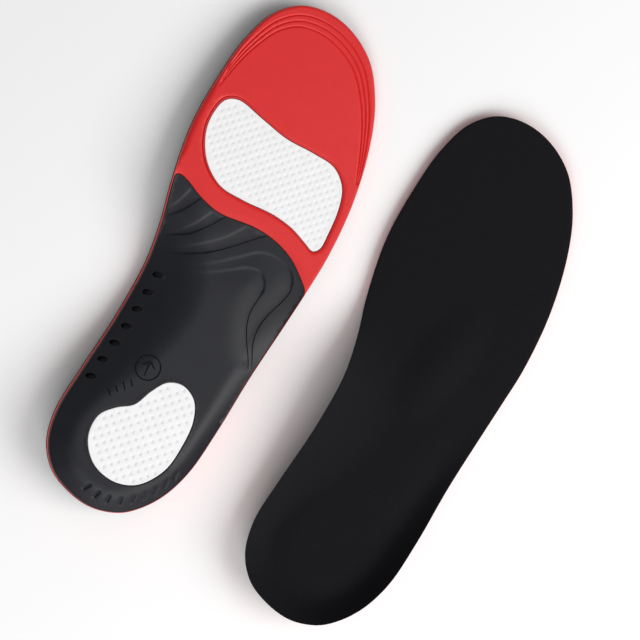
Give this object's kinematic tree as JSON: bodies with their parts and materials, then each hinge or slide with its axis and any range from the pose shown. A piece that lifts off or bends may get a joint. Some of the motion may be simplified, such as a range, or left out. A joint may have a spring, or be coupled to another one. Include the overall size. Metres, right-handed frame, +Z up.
{
  "type": "pair of cushioned insoles",
  "caption": "Full-length cushioned shoe insoles side by side, the left one turned over: fabric cover, foam bed, stiff arch and heel shell, dotted gel pads.",
  "frame": {"origin": "middle of the pair's footprint, on the surface that the insoles lie on", "axes": "+Z up, +Y from the heels to the toes, +X from the turned-over left insole to the right insole"},
  "size_m": [0.2014, 0.2782, 0.0293],
  "materials": {
    "cover_fabric": "matte black brushed knit",
    "red_foam": "matte moulded closed-cell foam",
    "black_shell": "satin moulded plastic",
    "white_gel": "soft white gel with a pattern of small dimples"
  },
  "bodies": {
    "right_rear": {"right_top_cover_rear": "cover_fabric", "right_foam_rear": "red_foam", "right_support_shell": "black_shell", "right_heel_gel": "white_gel"},
    "right_fore": {"right_top_cover_fore": "cover_fabric", "right_foam_fore": "red_foam", "right_forefoot_gel": "white_gel"},
    "left_rear": {"left_top_cover_rear": "cover_fabric", "left_foam_rear": "red_foam", "left_support_shell": "black_shell", "left_heel_gel": "white_gel"},
    "left_fore": {"left_top_cover_fore": "cover_fabric", "left_foam_fore": "red_foam", "left_forefoot_gel": "white_gel"}
  },
  "joints": [
    {"name": "right_flex", "type": "hinge", "parent": "right_rear", "child": "right_fore", "pos_m": [0.05564, 0.02291, 0.00788], "axis": [0.9882, -0.1532, 0], "range_deg": [0, 40], "stiffness_Nm_per_rad": 0.15},
    {"name": "left_lift", "type": "slide", "parent": "right_rear", "child": "left_rear", "axis": [0, 0, 1], "range_m": [0, 0.06]},
    {"name": "left_flex", "type": "hinge", "parent": "left_rear", "child": "left_fore", "pos_m": [-0.05449, 0.03135, 0.01585], "axis": [0.9785, -0.1577, -0.1328], "range_deg": [0, 40], "stiffness_Nm_per_rad": 0.15}
  ]
}
